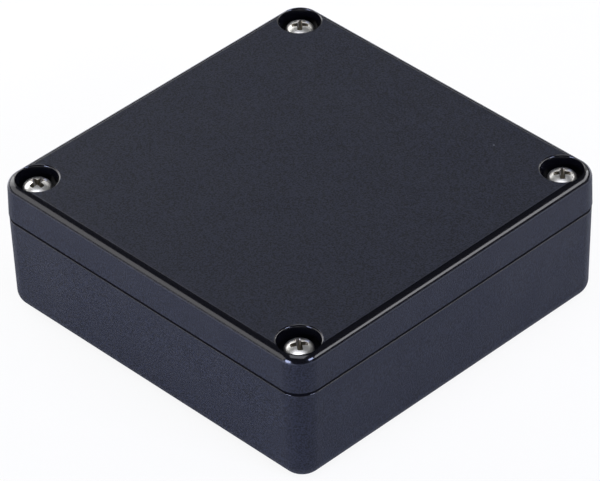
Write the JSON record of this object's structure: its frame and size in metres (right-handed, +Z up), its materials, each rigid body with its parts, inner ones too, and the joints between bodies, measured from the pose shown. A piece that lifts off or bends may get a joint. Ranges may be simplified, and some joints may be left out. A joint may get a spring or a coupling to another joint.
{
  "type": "plastic project box",
  "caption": "Low square plastic enclosure with rounded, slightly tapered sides, a screwed-on lid with recessed pan head screws in its corners, and board posts inside.",
  "frame": {"origin": "middle of the underside", "axes": "+Z up through the lid, +X to the right, -Y to the front; the sides lie along X and Y"},
  "size_m": [0.08, 0.08, 0.029],
  "materials": {
    "box_plastic": "fine spark texture on the faces, polished edges and screw wells",
    "screw_steel": "bright nickel plate"
  },
  "bodies": {
    "base": {"base": "box_plastic"},
    "lid": {"lid": "box_plastic"},
    "screw_front_right": {"screw_front_right": "screw_steel"},
    "screw_front_left": {"screw_front_left": "screw_steel"},
    "screw_back_right": {"screw_back_right": "screw_steel"},
    "screw_back_left": {"screw_back_left": "screw_steel"}
  },
  "joints": [
    {"name": "lid_lift", "type": "slide", "parent": "base", "child": "lid", "axis": [0, 0, 1], "range_m": [0, 0.045]},
    {"name": "front_right_unscrew", "type": "slide", "parent": "lid", "child": "screw_front_right", "axis": [0, 0, 1], "range_m": [0, 0.02]},
    {"name": "front_left_unscrew", "type": "slide", "parent": "lid", "child": "screw_front_left", "axis": [0, 0, 1], "range_m": [0, 0.02]},
    {"name": "back_right_unscrew", "type": "slide", "parent": "lid", "child": "screw_back_right", "axis": [0, 0, 1], "range_m": [0, 0.02]},
    {"name": "back_left_unscrew", "type": "slide", "parent": "lid", "child": "screw_back_left", "axis": [0, 0, 1], "range_m": [0, 0.02]}
  ]
}
